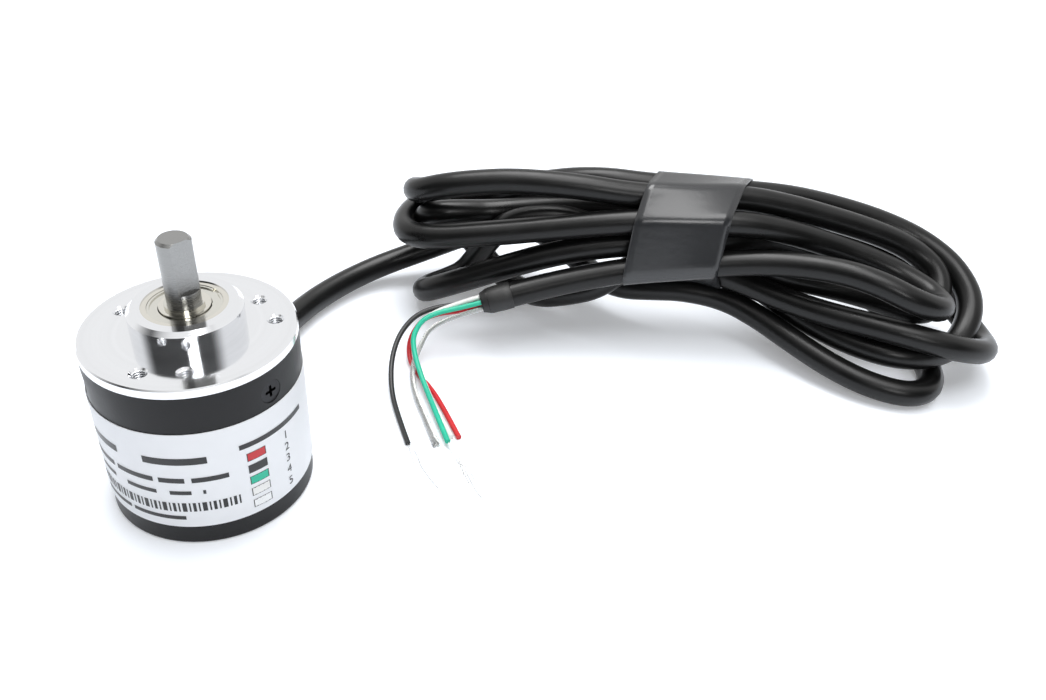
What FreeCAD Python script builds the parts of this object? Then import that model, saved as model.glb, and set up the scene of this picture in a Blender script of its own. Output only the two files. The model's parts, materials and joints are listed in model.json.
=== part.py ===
import FreeCAD, Part
import enum
import math
import os

import Sketcher

# Incremental shaft encoder with a side cable. Millimetres, +Z along the shaft, origin at the centre of
# the rear face that it stands on. The cable leaves the cover towards +Y and its hank lies along +X.

# Driving dimensions
SIZES = {
    # Cover and label
    "body_diameter": 38.0,
    "cover_wall": 1.5,
    "cover_floor": 2.0,
    "cover_edge_round": 0.6,
    "label_bottom": 4.5,
    "label_thickness": 0.12,
    "label_adhesive": 0.06,
    "label_wrap": 250.0,
    "label_screw_gap": 3.1,
    # Flange with its boss and the spigot that stands in the cover
    "rim_thickness": 1.7,
    "rim_edge": 0.25,
    "boss_diameter": 20.0,
    "boss_height": 5.0,
    "boss_chamfer": 0.8,
    "spigot_clearance": 0.05,
    "spigot_lip": 0.5,
    # Tapped mounting holes
    "inner_pitch_circle": 28.0,
    "outer_pitch_circle": 30.0,
    "tapped_hole_diameter": 2.5,
    "tapped_hole_depth": 8.0,
    "tapped_hole_mouth": 3.2,
    # Countersunk cover screws
    "cover_screw_drop": 4.5,
    "cover_screw_diameter": 2.5,
    "cover_screw_head": 4.4,
    "cover_screw_length": 6.0,
    "cover_screw_sink": 0.2,
    "recess_width": 0.6,
    "recess_span": 2.4,
    "recess_depth": 0.8,
    "screw_clearance": 0.08,
    "screw_tip_space": 0.4,
    # Ball bearings
    "bearing_diameter": 15.0,
    "bearing_width": 5.0,
    "ball_diameter": 2.4,
    "ball_clearance": 0.06,
    "inner_ring_wall": 1.5,
    "outer_ring_wall": 1.5,
    "shield_rebate_wall": 1.0,
    "shield_thickness": 0.25,
    "shield_ring_thickness": 0.25,
    "shield_ring_width": 0.4,
    "shield_ring_sweep": 345.0,
    "shield_recess": 0.1,
    "shield_running_gap": 0.15,
    "shield_fit": 0.04,
    "cage_wall": 0.8,
    "cage_height": 3.2,
    "bearing_recess": 0.2,
    "bearing_gap": 6.3,
    "shoulder_wall": 1.1,
    "spring_washer_height": 0.6,
    "spring_washer_width": 0.8,
    "spring_washer_fit": 0.2,
    "spacer_wall": 1.2,
    # Shaft
    "shaft_diameter": 6.0,
    "shaft_length": 13.0,
    "shaft_tip_chamfer": 0.5,
    "shaft_tail": 1.8,
    "flat_depth": 0.8,
    "flat_length": 10.0,
    "flat_azimuth": -40.0,
    "snap_ring_thickness": 0.6,
    "snap_ring_groove": 0.2,
    "snap_ring_stand": 0.55,
    "snap_ring_sweep": 300.0,
    # Code disc on its hub
    "hub_diameter": 12.0,
    "hub_height": 4.4,
    "hub_neck_height": 1.0,
    "hub_neck_wall": 1.2,
    "hub_pilot_wall": 1.0,
    "hub_pilot_height": 1.4,
    "grub_diameter": 2.0,
    "grub_sink": 0.3,
    "disc_gap": 4.5,
    "disc_thickness": 0.25,
    "disc_fit": 0.03,
    "track_inset": 0.8,
    "window_height": 0.8,
    "window_share": 0.5,
    "clamp_ring_width": 2.4,
    "clamp_ring_thickness": 1.0,
    # Light source and receiver
    "optic_gap": 0.45,
    "mask_length": 6.4,
    "mask_width": 3.2,
    "mask_thickness": 0.9,
    "sensor_length": 6.0,
    "sensor_width": 3.0,
    "sensor_height": 2.6,
    "emitter_diameter": 3.0,
    "emitter_height": 3.4,
    "emitter_fit": 0.05,
    "holder_gap": 0.6,
    "holder_length": 12.0,
    "holder_inner_wall": 0.7,
    "holder_outer_wall": 1.3,
    "holder_screw_spacing": 8.8,
    "holder_screw_diameter": 1.5,
    "holder_screw_head": 2.9,
    "holder_screw_head_height": 1.0,
    "holder_screw_grip": 3.0,
    "pin_diameter": 0.5,
    "pin_spacing": 2.54,
    "pin_offset": 2.3,
    "pin_grip": 3.0,
    "pin_stub": 0.5,
    "pin_fit": 0.04,
    # Circuit board and what it carries
    "cable_space": 10.8,
    "board_gap": 0.5,
    "board_thickness": 1.6,
    "standoff_inset": 2.7,
    "standoff_diameter": 3.0,
    "standoff_stud_diameter": 1.9,
    "standoff_stud_length": 2.0,
    "board_screw_diameter": 1.6,
    "board_screw_head": 2.8,
    "board_screw_head_height": 1.1,
    "board_screw_grip": 4.0,
    "chip_length": 6.0,
    "chip_width": 5.0,
    "chip_height": 1.5,
    "capacitor_length": 3.2,
    "capacitor_width": 1.6,
    "capacitor_height": 1.2,
    "resistor_length": 2.0,
    "resistor_width": 1.25,
    "resistor_height": 0.6,
    "chip_offset": 5.0,
    "capacitor_gap": 1.6,
    "resistor_pitch": 3.2,
    "resistor_gap": 1.2,
    # Cable, gland and wires
    "cable_diameter": 6.0,
    "cable_end_depth": 9.5,
    "cable_fit": 0.05,
    "gland_fit": 0.05,
    "gland_neck_wall": 1.1,
    "gland_bead_wall": 1.8,
    "gland_bead_length": 1.7,
    "gland_wall_gap": 0.1,
    "tie_wall": 1.2,
    "tie_width": 2.4,
    "core_diameter": 1.1,
    "core_spacing": 1.15,
    "core_run": 2.4,
    "core_reach": 5.0,
    "core_pad_spacing": 2.0,
    "wire_diameter": 1.2,
    "wire_circle": 3.2,
    "wire_run": 4.8,
    "sleeve_wall": 0.45,
    "sleeve_length": 7.5,
    "sleeve_overhang": 1.2,
    # Taped hank of cable: a waist with an end of loops on either side
    "waist_length": 26.0,
    "waist_depth": 10.6,
    "waist_height": 20.6,
    "left_end_length": 63.0,
    "left_end_depth": 32.0,
    "left_end_height": 41.0,
    "right_end_length": 69.0,
    "right_end_depth": 58.0,
    "right_end_height": 37.5,
    "hank_floor_gap": 0.1,
    "tape_width": 20.0,
    "tape_thickness": 0.4,
    "tape_gap": 0.1,
}

# Numbers of repeated pieces, and where the patterns start round the axis
COVER_SCREW_AZIMUTHS = (90, 210, 330)
STANDOFF_AZIMUTHS = (30, 150, 270)
INNER_HOLE_AZIMUTH = 45
OUTER_HOLE_AZIMUTH = 15
HOLES_PER_CIRCLE = 3
BALLS = 7
WINDOWS = 72
CABLE_AZIMUTH = 90
GRUB_AZIMUTH = 0
SNAP_RING_GAP_AZIMUTH = 35
SHIELD_RING_GAP_AZIMUTH = 50
RESISTOR_PLACES = (-1.5, -0.5, 0.5, 1.5)
CORE_PLACES = (-2, -1, 0, 1, 2)
WIRE_COLOURS = ("black", "white", "green", "shield", "red")

# Where the hank lies: the middle of its waist, and how far back the middles of its ends are
WAIST = (98.5, 63.7, 27.0)
LEFT_END_Y = 72.0
RIGHT_END_Y = 58.0

# Swell of a hank's end: share of its full section at each share of its length
END_SWELL = ((0.15, 0.68), (0.32, 0.9), (0.5, 1.0), (0.68, 0.97), (0.83, 0.82), (0.94, 0.58), (1.0, 0.3))
FULLEST = 0.5

# How round the hank is: corner radius as a share of the smaller half of a section
HANK_ROUNDNESS = 0.75

# Outer passes of cable under the tape, in order round them: the (y, z) of each at the same reach to the
# left and to the right of the waist's middle
PASS_REACH = 18.5
TAPED_PASSES = (
    ((54.3, 19.5), (55.0, 25.5)),
    ((65.9, 19.3), (59.3, 16.3)),
    ((71.9, 26.2), (64.4, 15.0)),
    ((66.2, 37.5), (71.9, 34.0)),
    ((60.3, 37.1), (66.1, 35.4)),
    ((57.0, 31.9), (58.5, 32.9)),
)

# Turn of the tape about Z, as it lies askew across the hank
TAPE_TURN = -22.8

# Share of the shorter run beside a bend that the bend's arc takes up
ARC_SHARE = 0.45

# Cord routes beyond the cover, chosen by hand
LEAD_ROUTE = [
    (2.5, 48.0, 3.7),
    (8.5, 62.8, 3.5),
    (19.2, 75.5, 4.4),
    (34.0, 82.0, 8.0),
    (49.4, 82.3, 11.8),
]
TAIL_ROUTE = [
    (86.0, 60.0, 23.0),
    (76.0, 56.2, 20.9),
    (62.0, 52.0, 17.0),
    (48.5, 48.4, 12.9),
]
WIRE_ROUTES = {
    "black": [(36.0, 48.0, 10.5), (31.4, 43.4, 7.5), (29.9, 36.7, 4.0), (31.1, 27.8, 1.4),
              (34.1, 19.0, 0.7), (37.0, 11.4, 0.7)],
    "white": [(37.1, 46.4, 10.0), (34.3, 42.9, 7.1), (34.8, 39.3, 4.6), (37.2, 33.1, 2.3),
              (41.0, 24.4, 0.7), (45.9, 14.2, 0.7)],
    "green": [(37.3, 44.7, 11.2), (34.5, 41.2, 8.3), (35.0, 37.6, 5.8), (37.4, 31.4, 3.5),
              (41.0, 22.8, 2.1), (45.4, 11.6, 1.6)],
    "shield": [(38.2, 45.0, 8.0), (35.9, 41.2, 4.2), (34.6, 36.0, 1.6), (36.2, 28.5, 0.7),
               (40.2, 18.6, 0.7), (43.0, 11.4, 0.7)],
    "red": [(36.7, 48.3, 8.8), (33.2, 44.6, 4.8), (33.4, 40.6, 1.2), (36.3, 35.2, 0.7),
            (40.0, 30.2, 0.7), (43.8, 22.6, 0.7), (47.5, 14.2, 0.7)],
}


class Axis(enum.IntEnum):
    """Sketcher's numbers for a sketch's own axes; the first also stands for its origin."""
    HORIZONTAL = -1
    VERTICAL = -2


class Point(enum.IntEnum):
    """Sketcher's numbers for the points of a line or a circle."""
    START = 1
    END = 2
    CENTRE = 3


doc = FreeCAD.newDocument("RotaryEncoder")
sheet = doc.addObject("Spreadsheet::Sheet", "Sizes")
for row, (alias, value) in enumerate(SIZES.items(), start=1):
    sheet.set(f"A{row}", alias)
    sheet.set(f"B{row}", str(value))
    sheet.setAlias(f"B{row}", alias)
doc.recompute()

parts = {}


# Helpers

def number(expression):
    """Value of an expression of the sheet's cells."""
    return float(sheet.evalExpression(str(expression)))


def half(alias):
    return f"(Sizes.{alias} / 2)"


def vector(x, y, z):
    return FreeCAD.Vector(x, y, z)


def bind(item, expressions):
    for name, expression in expressions.items():
        item.setExpression(name, str(expression))
    return item


def place(item, x="0", y="0", z="0"):
    return bind(item, {"Placement.Base.x": x, "Placement.Base.y": y, "Placement.Base.z": z})


def on_circle(radius, azimuth):
    """Expressions of a point on a circle round the axis."""
    return f"{radius} * cos({azimuth} deg)", f"{radius} * sin({azimuth} deg)"


def keep(label, item):
    """Register an object as a piece of the encoder."""
    item.Label = label
    parts[label] = item
    return item


def origin_feature(body, role):
    return next(item for item in body.Origin.OriginFeatures if item.Role == role)


def new_sketch(body, name, role, offset="0"):
    sketch = body.newObject("Sketcher::SketchObject", name)
    sketch.AttachmentSupport = (origin_feature(body, role), [""])
    sketch.MapMode = "FlatFace"
    sketch.setExpression("AttachmentOffset.Base.z", offset)
    return sketch


def hold(sketch, kind, line, expression, axis):
    """Keep a line's start point at a distance from the sketch's origin, or on the axis."""
    value = number(expression)
    if expression == "0":
        sketch.addConstraint(Sketcher.Constraint("PointOnObject", line, Point.START, axis))
    else:
        constraint = Sketcher.Constraint(kind, Axis.HORIZONTAL, Point.START, line, Point.START, value)
        index = sketch.addConstraint(constraint)
        sketch.setExpression(f"Constraints[{index}]", expression)


def trace(sketch, outline):
    """Closed polygon whose corners follow pairs of expressions."""
    corners = [vector(number(x), number(y), 0) for x, y in outline]
    first = sketch.GeometryCount
    for start, end in zip(corners, corners[1:] + corners[:1]):
        sketch.addGeometry(Part.LineSegment(start, end))
    for index, (x, y) in enumerate(outline):
        line = first + index
        before = first + (index - 1) % len(outline)
        sketch.addConstraint(Sketcher.Constraint("Coincident", before, Point.END, line, Point.START))
        hold(sketch, "DistanceX", line, x, Axis.VERTICAL)
        hold(sketch, "DistanceY", line, y, Axis.HORIZONTAL)


def turned(label, outline, sweep="360"):
    """Body turned about Z from a closed outline of (radius, height) expressions."""
    body = doc.addObject("PartDesign::Body", label)
    sketch = new_sketch(body, f"{label}_outline", "XZ_Plane")
    trace(sketch, outline)
    solid = body.newObject("PartDesign::Revolution", f"{label}_turned")
    solid.Profile = sketch
    solid.ReferenceAxis = (sketch, ["V_Axis"])
    solid.setExpression("Angle", sweep)
    return body


def ring(label, inner, outer, bottom, top, sweep="360"):
    outline = [(inner, bottom), (outer, bottom), (outer, top), (inner, top)]
    return turned(label, outline, sweep)


def rod(label, radius, bottom, top):
    return turned(label, [("0", bottom), (radius, bottom), (radius, top), ("0", top)])


def turn_about_axis(item, azimuth):
    item.Placement = FreeCAD.Placement(vector(0, 0, 0), FreeCAD.Rotation(vector(0, 0, 1), azimuth))
    return item


def open_towards(item, azimuth, sweep):
    """Turn a ring of less than a full sweep so that its gap faces an azimuth."""
    return turn_about_axis(item, azimuth + (360 - number(sweep)) / 2)


def point_outwards(item, azimuth, height):
    """Lay a turned body along a radius: its own Z then counts the distance from the axis."""
    lying = FreeCAD.Rotation(vector(0, 0, 1), azimuth) * FreeCAD.Rotation(vector(0, 1, 0), 90)
    item.Placement = FreeCAD.Placement(vector(0, 0, 0), lying)
    item.setExpression("Placement.Base.z", height)
    return item


def group(label, members):
    compound = doc.addObject("Part::Compound", label)
    compound.Links = members
    return compound


def cut(label, base, tools):
    result = doc.addObject("Part::Cut", label)
    result.Base = base
    result.Tool = tools[0] if len(tools) == 1 else group(f"{label}_tools", tools)
    return result


def box(label, size, corner):
    """Part box with expressions for its size and its lowest corner."""
    block = doc.addObject("Part::Box", label)
    bind(block, dict(zip(("Length", "Width", "Height"), size)))
    return place(block, *corner)


def box_centred(label, size, middle_x, middle_y, bottom):
    length, width, height = size
    corner = (f"{middle_x} - {length} / 2", f"{middle_y} - {width} / 2", bottom)
    return box(label, (length, width, height), corner)


def edges_where(shape, test):
    return [f"Edge{index}" for index, edge in enumerate(shape.Edges, start=1) if test(edge)]


# Levels along the axis, from the rear face up

board_bottom = "(Sizes.cover_floor + Sizes.cable_space)"
board_top = f"({board_bottom} + Sizes.board_thickness)"
sensor_top = f"({board_top} + Sizes.sensor_height)"
mask_top = f"({sensor_top} + Sizes.mask_thickness)"
disc_bottom = f"({mask_top} + Sizes.optic_gap)"
disc_top = f"({disc_bottom} + Sizes.disc_thickness)"
hub_top = f"({disc_top} + Sizes.hub_height)"
rear_bearing_bottom = f"({hub_top} + Sizes.hub_neck_height)"
rear_bearing_top = f"({rear_bearing_bottom} + Sizes.bearing_width)"
front_bearing_bottom = f"({rear_bearing_top} + Sizes.bearing_gap)"
front_bearing_top = f"({front_bearing_bottom} + Sizes.bearing_width)"
boss_top = f"({front_bearing_top} + Sizes.bearing_recess)"
mounting_face = f"({boss_top} - Sizes.boss_height)"
rim_bottom = f"({mounting_face} - Sizes.rim_thickness)"
spigot_bottom = f"({rear_bearing_bottom} - Sizes.spigot_lip)"
shaft_top = f"({boss_top} + Sizes.shaft_length)"
cover_screw_height = f"({rim_bottom} - Sizes.cover_screw_drop)"
holder_bottom = f"({disc_top} + Sizes.holder_gap)"
cable_height = "(Sizes.cover_floor + Sizes.cable_space / 2)"

# Radii that several pieces share

body_radius = half("body_diameter")
cover_inside = f"({body_radius} - Sizes.cover_wall)"
bearing_radius = half("bearing_diameter")
shaft_radius = half("shaft_diameter")
inner_land = f"({shaft_radius} + Sizes.inner_ring_wall)"
outer_land = f"({bearing_radius} - Sizes.outer_ring_wall)"
rebate_radius = f"({bearing_radius} - Sizes.shield_rebate_wall)"
pitch_radius = f"(({inner_land} + {outer_land}) / 2)"
hub_radius = half("hub_diameter")
pilot_radius = f"({shaft_radius} + Sizes.hub_pilot_wall)"
disc_bore = f"({pilot_radius} + Sizes.disc_fit)"
standoff_radius = f"({cover_inside} - Sizes.standoff_inset)"
disc_radius = f"({cover_inside} - Sizes.disc_gap)"
track = f"({disc_radius} - Sizes.track_inset)"
cable_radius = half("cable_diameter")


# Cover screws, with the same form and a clearance for their holes

def countersunk(label, azimuth, clearance, tip_space, mouth):
    """Countersunk screw along a radius, from its tip to the head's face and on to the mouth."""
    head_face = f"({body_radius} - Sizes.cover_screw_sink)"
    cone = "(Sizes.cover_screw_head - Sizes.cover_screw_diameter) / 2"
    tip = f"({head_face} - Sizes.cover_screw_length - {tip_space})"
    shank = f"({half('cover_screw_diameter')} + {clearance})"
    head = f"({half('cover_screw_head')} + {clearance})"
    outline = [("0", tip), (shank, tip), (shank, f"{head_face} - {cone}"), (head, head_face)]
    if mouth != "0":
        outline.append((head, f"{head_face} + {mouth}"))
        head_face = f"{head_face} + {mouth}"
    outline.append(("0", head_face))
    screw = turned(label, outline)
    return point_outwards(screw, azimuth, cover_screw_height)


def add_cross_recess(screw):
    """Two crossed slots in the head of a cover screw."""
    for name, width, span in (("slot_a", "recess_width", "recess_span"),
                              ("slot_b", "recess_span", "recess_width")):
        head_face = f"{body_radius} - Sizes.cover_screw_sink"
        sketch = new_sketch(screw, f"{screw.Name}_{name}", "XY_Plane", head_face)
        x, y = half(width), half(span)
        trace(sketch, [(f"-{x}", f"-{y}"), (x, f"-{y}"), (x, y), (f"-{x}", y)])
        slot = screw.newObject("PartDesign::Pocket", f"{screw.Name}_{name}_cut")
        slot.Profile = sketch
        slot.setExpression("Length", "Sizes.recess_depth")
    return screw


def make_cover_screws():
    screws = [countersunk(f"cover_screw_{azimuth}", azimuth, "0", "0", "0")
              for azimuth in COVER_SCREW_AZIMUTHS]
    keep("cover_screws", group("cover_screws", [add_cross_recess(screw) for screw in screws]))


def cover_screw_holes(owner):
    return [countersunk(f"{owner}_screw_hole_{azimuth}", azimuth, "Sizes.screw_clearance",
                        "Sizes.screw_tip_space", "Sizes.cover_wall")
            for azimuth in COVER_SCREW_AZIMUTHS]


# Cover, label and flange

def make_cover():
    blank = turned("cover_blank", [
        ("0", "0"),
        (body_radius, "0"),
        (body_radius, rim_bottom),
        (cover_inside, rim_bottom),
        (cover_inside, "Sizes.cover_floor"),
        ("0", "Sizes.cover_floor"),
    ])
    doc.recompute()
    cup = blank.Tip
    at_rear = edges_where(cup.Shape, lambda edge: isinstance(edge.Curve, Part.Circle)
                          and abs(edge.CenterOfMass.z) < 1e-6)
    rear_edge = blank.newObject("PartDesign::Fillet", "cover_rear_edge")
    rear_edge.Base = (cup, at_rear)
    rear_edge.setExpression("Radius", "Sizes.cover_edge_round")
    gland_hole = rod("gland_hole", gland_neck_radius("Sizes.gland_fit"), f"{cover_inside} / 2",
                     f"{body_radius} + Sizes.cover_wall")
    point_outwards(gland_hole, CABLE_AZIMUTH, cable_height)
    keep("cover", cut("cover", blank, cover_screw_holes("cover") + [gland_hole]))


def make_label():
    top = f"{cover_screw_height} - Sizes.label_screw_gap"
    wrap = "Sizes.label_wrap"
    inside = f"({body_radius} + Sizes.label_adhesive)"
    label = ring("label", inside, f"{inside} + Sizes.label_thickness", "Sizes.label_bottom", top, wrap)
    keep("label", open_towards(label, CABLE_AZIMUTH, wrap))


def drill_tapped_holes(flange):
    """Two sets of tapped holes, each evenly spaced on its own pitch circle."""
    sketch = new_sketch(flange, "tapped_hole_places", "XY_Plane", mounting_face)
    for circle, azimuth in (("inner_pitch_circle", INNER_HOLE_AZIMUTH),
                            ("outer_pitch_circle", OUTER_HOLE_AZIMUTH)):
        x, y = on_circle(half(circle), azimuth)
        middle = vector(number(x), number(y), 0)
        width = number("Sizes.tapped_hole_diameter")
        index = sketch.addGeometry(Part.Circle(middle, vector(0, 0, 1), width / 2))
        for kind, expression in (("DistanceX", x), ("DistanceY", y)):
            constraint = Sketcher.Constraint(kind, Axis.HORIZONTAL, Point.START, index, Point.CENTRE,
                                             number(expression))
            place_index = sketch.addConstraint(constraint)
            sketch.setExpression(f"Constraints[{place_index}]", expression)
        width_index = sketch.addConstraint(Sketcher.Constraint("Diameter", index, width))
        sketch.setExpression(f"Constraints[{width_index}]", "Sizes.tapped_hole_diameter")
    doc.recompute()
    holes = flange.newObject("PartDesign::Hole", "tapped_holes")
    holes.Profile = sketch
    holes.DepthType = "Dimension"
    holes.HoleCutType = "Countersink"
    holes.DrillPoint = "Flat"
    holes.HoleCutCountersinkAngle = 90
    bind(holes, {"Diameter": "Sizes.tapped_hole_diameter", "Depth": "Sizes.tapped_hole_depth",
                 "HoleCutDiameter": "Sizes.tapped_hole_mouth"})
    doc.recompute()
    pattern = flange.newObject("PartDesign::PolarPattern", "tapped_hole_sets")
    pattern.Originals = [holes]
    pattern.Axis = (origin_feature(flange, "Z_Axis"), [""])
    pattern.Angle = 360
    pattern.Occurrences = HOLES_PER_CIRCLE
    flange.Tip = pattern


def make_flange():
    boss_radius = half("boss_diameter")
    spigot_radius = f"{cover_inside} - Sizes.spigot_clearance"
    shoulder_radius = f"{bearing_radius} - Sizes.shoulder_wall"
    shoulder_bottom = f"{rear_bearing_top} + Sizes.spring_washer_height"
    blank = turned("flange_blank", [
        (bearing_radius, boss_top),
        (f"{boss_radius} - Sizes.boss_chamfer", boss_top),
        (boss_radius, f"{boss_top} - Sizes.boss_chamfer"),
        (boss_radius, mounting_face),
        (f"{body_radius} - Sizes.rim_edge", mounting_face),
        (body_radius, f"{mounting_face} - Sizes.rim_edge"),
        (body_radius, rim_bottom),
        (spigot_radius, rim_bottom),
        (spigot_radius, spigot_bottom),
        (bearing_radius, spigot_bottom),
        (bearing_radius, shoulder_bottom),
        (shoulder_radius, shoulder_bottom),
        (shoulder_radius, front_bearing_bottom),
        (bearing_radius, front_bearing_bottom),
    ])
    drill_tapped_holes(blank)
    stud_holes = [standoff_stud_hole(azimuth) for azimuth in STANDOFF_AZIMUTHS]
    holder_holes = [holder_screw_thread(side) for side in (-1, 1)]
    keep("flange", cut("flange", blank, cover_screw_holes("flange") + stud_holes + holder_holes))


# Ball bearings

def bearing_race(label, blank, middle):
    """Ring with the balls' groove turned into it."""
    groove = doc.addObject("Part::Torus", f"{label}_groove")
    bind(groove, {"Radius1": pitch_radius, "Radius2": f"{half('ball_diameter')} + Sizes.ball_clearance"})
    place(groove, z=middle)
    return keep(label, cut(label, blank, [groove]))


def bearing_balls(label, middle):
    balls = []
    for index in range(BALLS):
        ball = doc.addObject("Part::Sphere", f"{label}_{index}")
        ball.setExpression("Radius", half("ball_diameter"))
        x, y = on_circle(pitch_radius, index * 360 / BALLS)
        balls.append(place(ball, x, y, middle))
    return keep(label, group(label, balls))


def cage_pockets(label, middle):
    """Holes along the radii, one round each ball."""
    pockets = []
    for index in range(BALLS):
        pocket = doc.addObject("Part::Cylinder", f"{label}_pocket_{index}")
        bind(pocket, {
            "Radius": f"{half('ball_diameter')} + Sizes.ball_clearance",
            "Height": bearing_radius,
        })
        pockets.append(point_outwards(pocket, index * 360 / BALLS, middle))
    return pockets


def make_bearing(name, bottom):
    top = f"({bottom} + Sizes.bearing_width)"
    middle = f"({bottom} + Sizes.bearing_width / 2)"
    rebate = "(Sizes.shield_recess + Sizes.shield_ring_thickness + Sizes.shield_thickness)"
    outer = turned(f"{name}_outer_blank", [
        (rebate_radius, bottom),
        (bearing_radius, bottom),
        (bearing_radius, top),
        (rebate_radius, top),
        (rebate_radius, f"{top} - {rebate}"),
        (outer_land, f"{top} - {rebate}"),
        (outer_land, f"{bottom} + {rebate}"),
        (rebate_radius, f"{bottom} + {rebate}"),
    ])
    bearing_race(f"{name}_outer_ring", outer, middle)
    inner = ring(f"{name}_inner_blank", shaft_radius, inner_land, bottom, top)
    bearing_race(f"{name}_inner_ring", inner, middle)
    bearing_balls(f"{name}_balls", middle)

    cage_inner = f"{pitch_radius} - Sizes.cage_wall / 2"
    cage_outer = f"{pitch_radius} + Sizes.cage_wall / 2"
    cage = ring(f"{name}_cage_blank", cage_inner, cage_outer, f"{middle} - Sizes.cage_height / 2",
                f"{middle} + Sizes.cage_height / 2")
    keep(f"{name}_cage", cut(f"{name}_cage", cage, cage_pockets(f"{name}_cage", middle)))

    shield_inner = f"{inner_land} + Sizes.shield_running_gap"
    shield_outer = f"{rebate_radius} - Sizes.shield_fit"
    snap_inner = f"{shield_outer} - Sizes.shield_ring_width"
    outer_step = "Sizes.shield_recess"
    middle_step = f"({outer_step} + Sizes.shield_ring_thickness)"
    shields = [
        ring(f"{name}_lower_shield", shield_inner, shield_outer, f"{bottom} + {middle_step}",
             f"{bottom} + {rebate}"),
        ring(f"{name}_upper_shield", shield_inner, shield_outer, f"{top} - {rebate}",
             f"{top} - {middle_step}"),
    ]
    keep(f"{name}_shields", group(f"{name}_shields", shields))
    sweep = "Sizes.shield_ring_sweep"
    snap_rings = [
        ring(f"{name}_lower_snap_ring", snap_inner, shield_outer, f"{bottom} + {outer_step}",
             f"{bottom} + {middle_step}", sweep),
        ring(f"{name}_upper_snap_ring", snap_inner, shield_outer, f"{top} - {middle_step}",
             f"{top} - {outer_step}", sweep),
    ]
    for snap_ring in snap_rings:
        open_towards(snap_ring, SHIELD_RING_GAP_AZIMUTH, sweep)
    keep(f"{name}_shield_rings", group(f"{name}_shield_rings", snap_rings))


def make_bearing_fittings():
    spacer = ring("bearing_spacer", shaft_radius, f"{shaft_radius} + Sizes.spacer_wall",
                  rear_bearing_top, front_bearing_bottom)
    keep("bearing_spacer", spacer)
    washer_outer = f"{bearing_radius} - Sizes.spring_washer_fit"
    washer = ring("spring_washer", f"{washer_outer} - Sizes.spring_washer_width", washer_outer,
                  rear_bearing_top, f"{rear_bearing_top} + Sizes.spring_washer_height")
    keep("spring_washer", washer)


# Shaft, snap ring, hub and code disc

def make_shaft():
    chamfer = "Sizes.shaft_tip_chamfer"
    bottom = f"({disc_top} - Sizes.shaft_tail)"
    groove_radius = f"({shaft_radius} - Sizes.snap_ring_groove)"
    groove_top = f"({front_bearing_top} + Sizes.snap_ring_thickness)"
    flat_bottom = f"({shaft_top} - Sizes.flat_length)"
    shaft = turned("shaft", [
        ("0", bottom),
        (f"{shaft_radius} - {chamfer}", bottom),
        (shaft_radius, f"{bottom} + {chamfer}"),
        (shaft_radius, front_bearing_top),
        (groove_radius, front_bearing_top),
        (groove_radius, groove_top),
        (shaft_radius, groove_top),
        (shaft_radius, flat_bottom),
        (shaft_radius, f"{shaft_top} - {chamfer}"),
        (f"{shaft_radius} - {chamfer}", shaft_top),
        ("0", shaft_top),
    ])
    # The round neck below the flat stays a face of its own
    shaft.Tip.Refine = False
    flat = new_sketch(shaft, "flat_outline", "XY_Plane", shaft_top)
    near = f"({shaft_radius} - Sizes.flat_depth)"
    far = "Sizes.shaft_diameter"
    trace(flat, [(near, f"-{far}"), (far, f"-{far}"), (far, far), (near, far)])
    flat_cut = shaft.newObject("PartDesign::Pocket", "flat")
    flat_cut.Profile = flat
    flat_cut.setExpression("Length", "Sizes.flat_length")
    flat_cut.Refine = False
    turn_about_axis(shaft, number("Sizes.flat_azimuth"))
    keep("shaft", shaft)

    sweep = "Sizes.snap_ring_sweep"
    snap_ring = ring("shaft_snap_ring", groove_radius, f"{shaft_radius} + Sizes.snap_ring_stand",
                     front_bearing_top, groove_top, sweep)
    keep("shaft_snap_ring", open_towards(snap_ring, SNAP_RING_GAP_AZIMUTH, sweep))


def make_disc_hub():
    pilot_bottom = f"({disc_top} - Sizes.hub_pilot_height)"
    neck = f"({shaft_radius} + Sizes.hub_neck_wall)"
    blank = turned("disc_hub_blank", [
        (shaft_radius, pilot_bottom),
        (pilot_radius, pilot_bottom),
        (pilot_radius, disc_top),
        (hub_radius, disc_top),
        (hub_radius, hub_top),
        (neck, hub_top),
        (neck, rear_bearing_bottom),
        (shaft_radius, rear_bearing_bottom),
    ])
    grub_height = f"({disc_top} + Sizes.hub_height / 2)"
    grub_radius = half("grub_diameter")
    thread = rod("grub_thread", f"{grub_radius} + Sizes.screw_clearance", "0", "Sizes.hub_diameter")
    point_outwards(thread, GRUB_AZIMUTH, grub_height)
    keep("disc_hub", cut("disc_hub", blank, [thread]))
    grub = rod("hub_grub_screw", grub_radius, shaft_radius, f"{hub_radius} - Sizes.grub_sink")
    keep("hub_grub_screw", point_outwards(grub, GRUB_AZIMUTH, grub_height))


def window_wire(azimuth, inner, outer, half_angle):
    """Slot of the code disc between two radii, as a wire at height zero."""
    def on_disc(radius, angle):
        return vector(radius * math.cos(angle), radius * math.sin(angle), 0)

    low, high = azimuth - half_angle, azimuth + half_angle
    edges = [
        Part.Arc(on_disc(inner, low), on_disc(inner, azimuth), on_disc(inner, high)),
        Part.LineSegment(on_disc(inner, high), on_disc(outer, high)),
        Part.Arc(on_disc(outer, high), on_disc(outer, azimuth), on_disc(outer, low)),
        Part.LineSegment(on_disc(outer, low), on_disc(inner, low)),
    ]
    return Part.Wire([edge.toShape() for edge in edges])


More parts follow.
